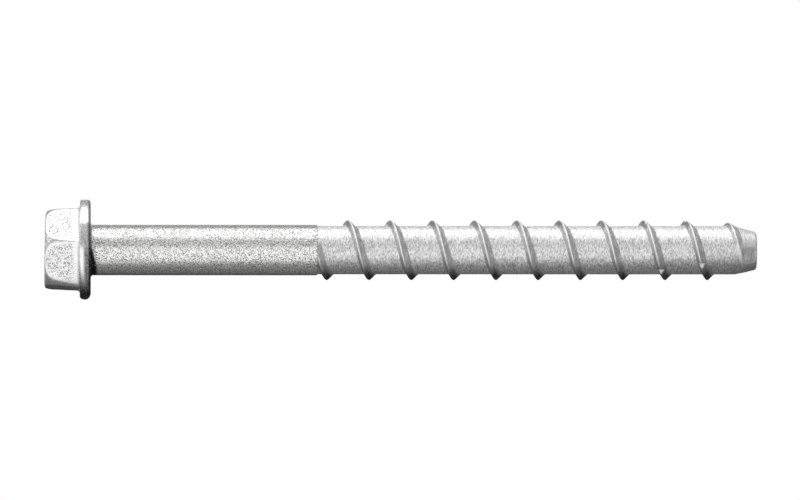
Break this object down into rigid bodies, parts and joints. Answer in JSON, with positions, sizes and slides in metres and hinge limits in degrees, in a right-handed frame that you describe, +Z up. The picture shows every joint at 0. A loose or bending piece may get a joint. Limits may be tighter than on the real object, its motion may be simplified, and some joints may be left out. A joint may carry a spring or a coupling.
{
  "type": "concrete screw",
  "caption": "Galvanised steel concrete screw with a flanged hexagon head, a plain shank, a coarse right-hand cutting thread with notched end turns and a blunt tapered point.",
  "frame": {"origin": "on the ground under the middle of the screw as it lies at rest", "axes": "+X from the head to the point, along the ground; +Z up. The screw's own axis leans about 1.9 degrees down towards the point, because it lies on its flange's rim and its thread's crests"},
  "size_m": [0.1608, 0.0226, 0.0227],
  "materials": {
    "zinc_coated_steel": "satin galvanised, fine grained"
  },
  "bodies": {
    "root": {"concrete_screw": "zinc_coated_steel"}
  },
  "joints": []
}
